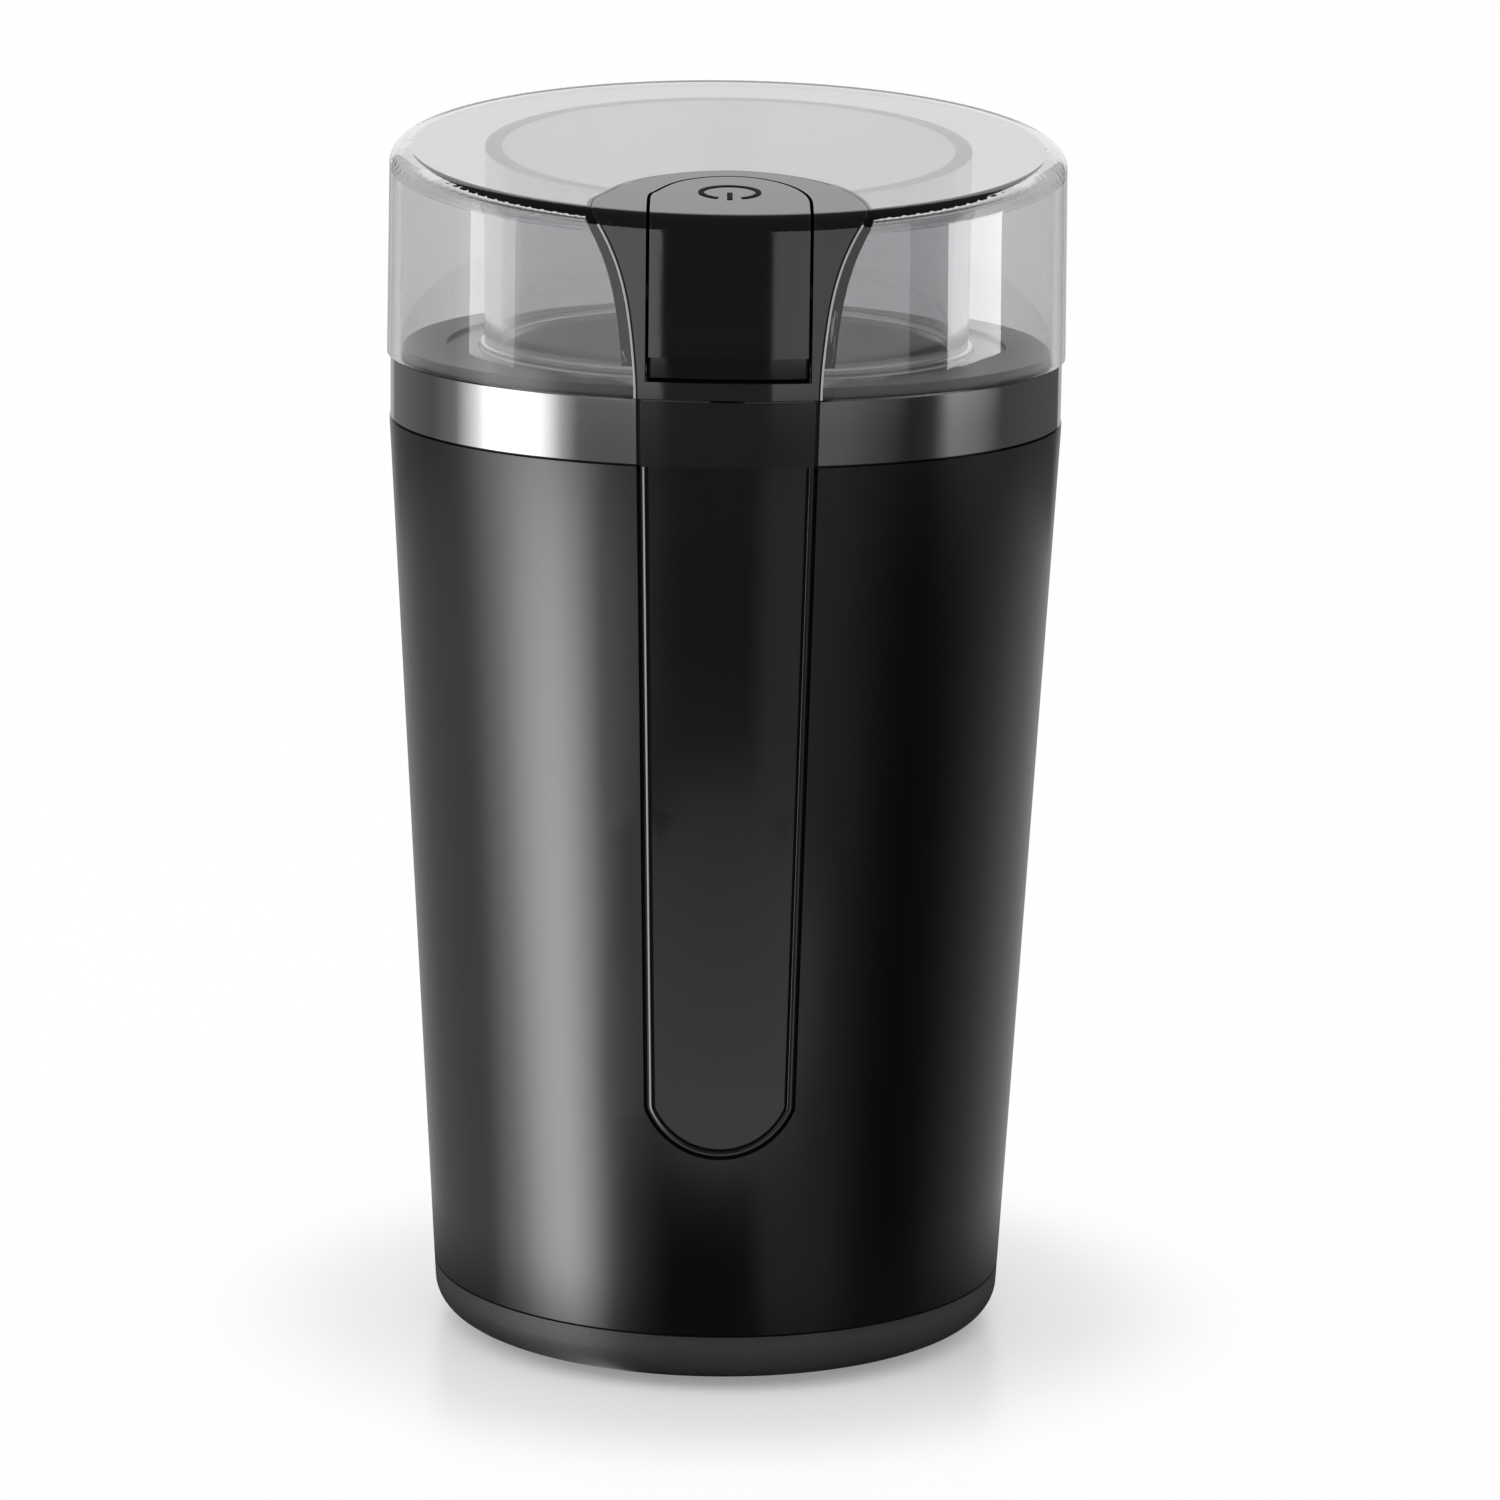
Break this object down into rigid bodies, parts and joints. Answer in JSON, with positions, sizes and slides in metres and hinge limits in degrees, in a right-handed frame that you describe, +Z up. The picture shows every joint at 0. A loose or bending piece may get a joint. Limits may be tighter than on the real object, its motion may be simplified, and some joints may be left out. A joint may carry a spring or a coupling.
{
  "type": "electric spice grinder",
  "caption": "Tapered electric spice grinder with a clear lid, a push button in the lid's front, a metal band and a rounded front strip.",
  "frame": {"origin": "on the floor, under the middle of the base", "axes": "+Z up along the motor's shaft, -Y to the front strip and the button, +X to the right seen from the front"},
  "size_m": [0.1008, 0.1008, 0.1841],
  "materials": {
    "band_metal": "polished",
    "base_matte": "fine matte texture",
    "bearing_bronze": "sintered",
    "blade_steel": "ground",
    "body_gloss_black": "gloss black paint",
    "bowl_steel": "spun and polished",
    "bracket_plastic": "glass filled",
    "brass_plate": "stamped",
    "carbon": "pressed carbon",
    "cast_alloy": "die cast",
    "copper_bare": "turned copper",
    "copper_enamel": "enamelled copper wire",
    "deck_plastic": "satin",
    "fan_plastic": "moulded",
    "frame_plastic": "moulded",
    "lamination_steel": "stacked laminations",
    "lid_clear": "clear light-smoke",
    "pod_gloss_black": "gloss black",
    "rod_plastic": "acetal",
    "rubber_black": "matte",
    "rubber_grey": "matte",
    "shaft_steel": "ground",
    "silicone_clear": "translucent",
    "spring_steel": "drawn wire",
    "strip_satin": "satin",
    "switch_plastic": "moulded",
    "terminal_plastic": "moulded",
    "wire_sheath": "pvc",
    "zinc_steel": "zinc plated"
  },
  "bodies": {
    "housing": {"base_cover": "base_matte", "base_screws": "zinc_steel", "bowl_bush": "zinc_steel", "bowl_gasket": "rubber_grey", "bracket_screws": "zinc_steel", "brush_holders": "brass_plate", "brush_springs": "spring_steel", "bush_nut": "zinc_steel", "carbon_brushes": "carbon", "clamp_screws": "zinc_steel", "cord_clamp": "bracket_plastic", "cord_gland": "rubber_black", "deck": "deck_plastic", "deck_screws": "zinc_steel", "feet": "rubber_black", "field_coils": "copper_enamel", "front_panel": "strip_satin", "grinding_bowl": "bowl_steel", "inner_frame": "frame_plastic", "lead_wires": "wire_sheath", "lever_pin": "spring_steel", "lower_bearing": "bearing_bronze", "lower_bracket": "bracket_plastic", "microswitch": "switch_plastic", "motor_mounts": "rubber_black", "motor_screws": "zinc_steel", "mount_screws": "zinc_steel", "outer_shell": "body_gloss_black", "rod_guide": "rod_plastic", "rod_spring": "spring_steel", "shaft_seal": "rubber_black", "stator_stack": "lamination_steel", "switch_bracket": "zinc_steel", "switch_screws": "zinc_steel", "terminal_block": "terminal_plastic", "trim_ring": "band_metal", "upper_bearing": "bearing_bronze", "upper_bracket": "cast_alloy"},
    "lid": {"lid_shell": "lid_clear", "lid_inner_ring": "lid_clear", "lid_gasket": "silicone_clear", "button_housing": "pod_gloss_black", "button_springs": "spring_steel"},
    "button": {"button": "pod_gloss_black"},
    "push_rod": {"push_rod": "rod_plastic"},
    "switch_lever": {"switch_lever": "spring_steel"},
    "switch_plunger": {"switch_plunger": "rod_plastic"},
    "rotor": {"drive_shaft": "shaft_steel", "blade": "blade_steel", "blade_nut": "blade_steel", "armature_core": "lamination_steel", "armature_windings": "copper_enamel", "commutator": "copper_bare", "cooling_fan": "fan_plastic"}
  },
  "joints": [
    {"name": "lid_lift", "type": "slide", "parent": "housing", "child": "lid", "axis": [0, 0, 1], "range_m": [0, 0.06]},
    {"name": "button_press", "type": "slide", "parent": "lid", "child": "button", "axis": [0, 0, -1], "range_m": [0, 0.003], "stiffness_N_per_m": 1000, "springref_m": -0.002, "deforming": ["button_springs"]},
    {"name": "rod_press", "type": "slide", "parent": "housing", "child": "push_rod", "axis": [0, 0, -1], "range_m": [0, 0.003], "deforming": ["rod_spring"]},
    {"name": "lever_swing", "type": "hinge", "parent": "housing", "child": "switch_lever", "pos_m": [-0.009, -0.0397, 0.1216], "axis": [0, 1, 0], "range_deg": [0, 17.3]},
    {"name": "plunger_press", "type": "slide", "parent": "housing", "child": "switch_plunger", "axis": [0, 0, -1], "range_m": [0, 0.00117]},
    {"name": "rotor_spin", "type": "hinge", "parent": "housing", "child": "rotor", "pos_m": [0, 0, 0.1], "axis": [0, 0, 1], "continuous": true}
  ],
  "couplings": [
    {"joint": "rod_press", "follows": "button_press", "ratio": 1},
    {"joint": "lever_swing", "follows": "button_press", "rad_per_m": 100.65},
    {"joint": "plunger_press", "follows": "button_press", "ratio": 0.39}
  ]
}
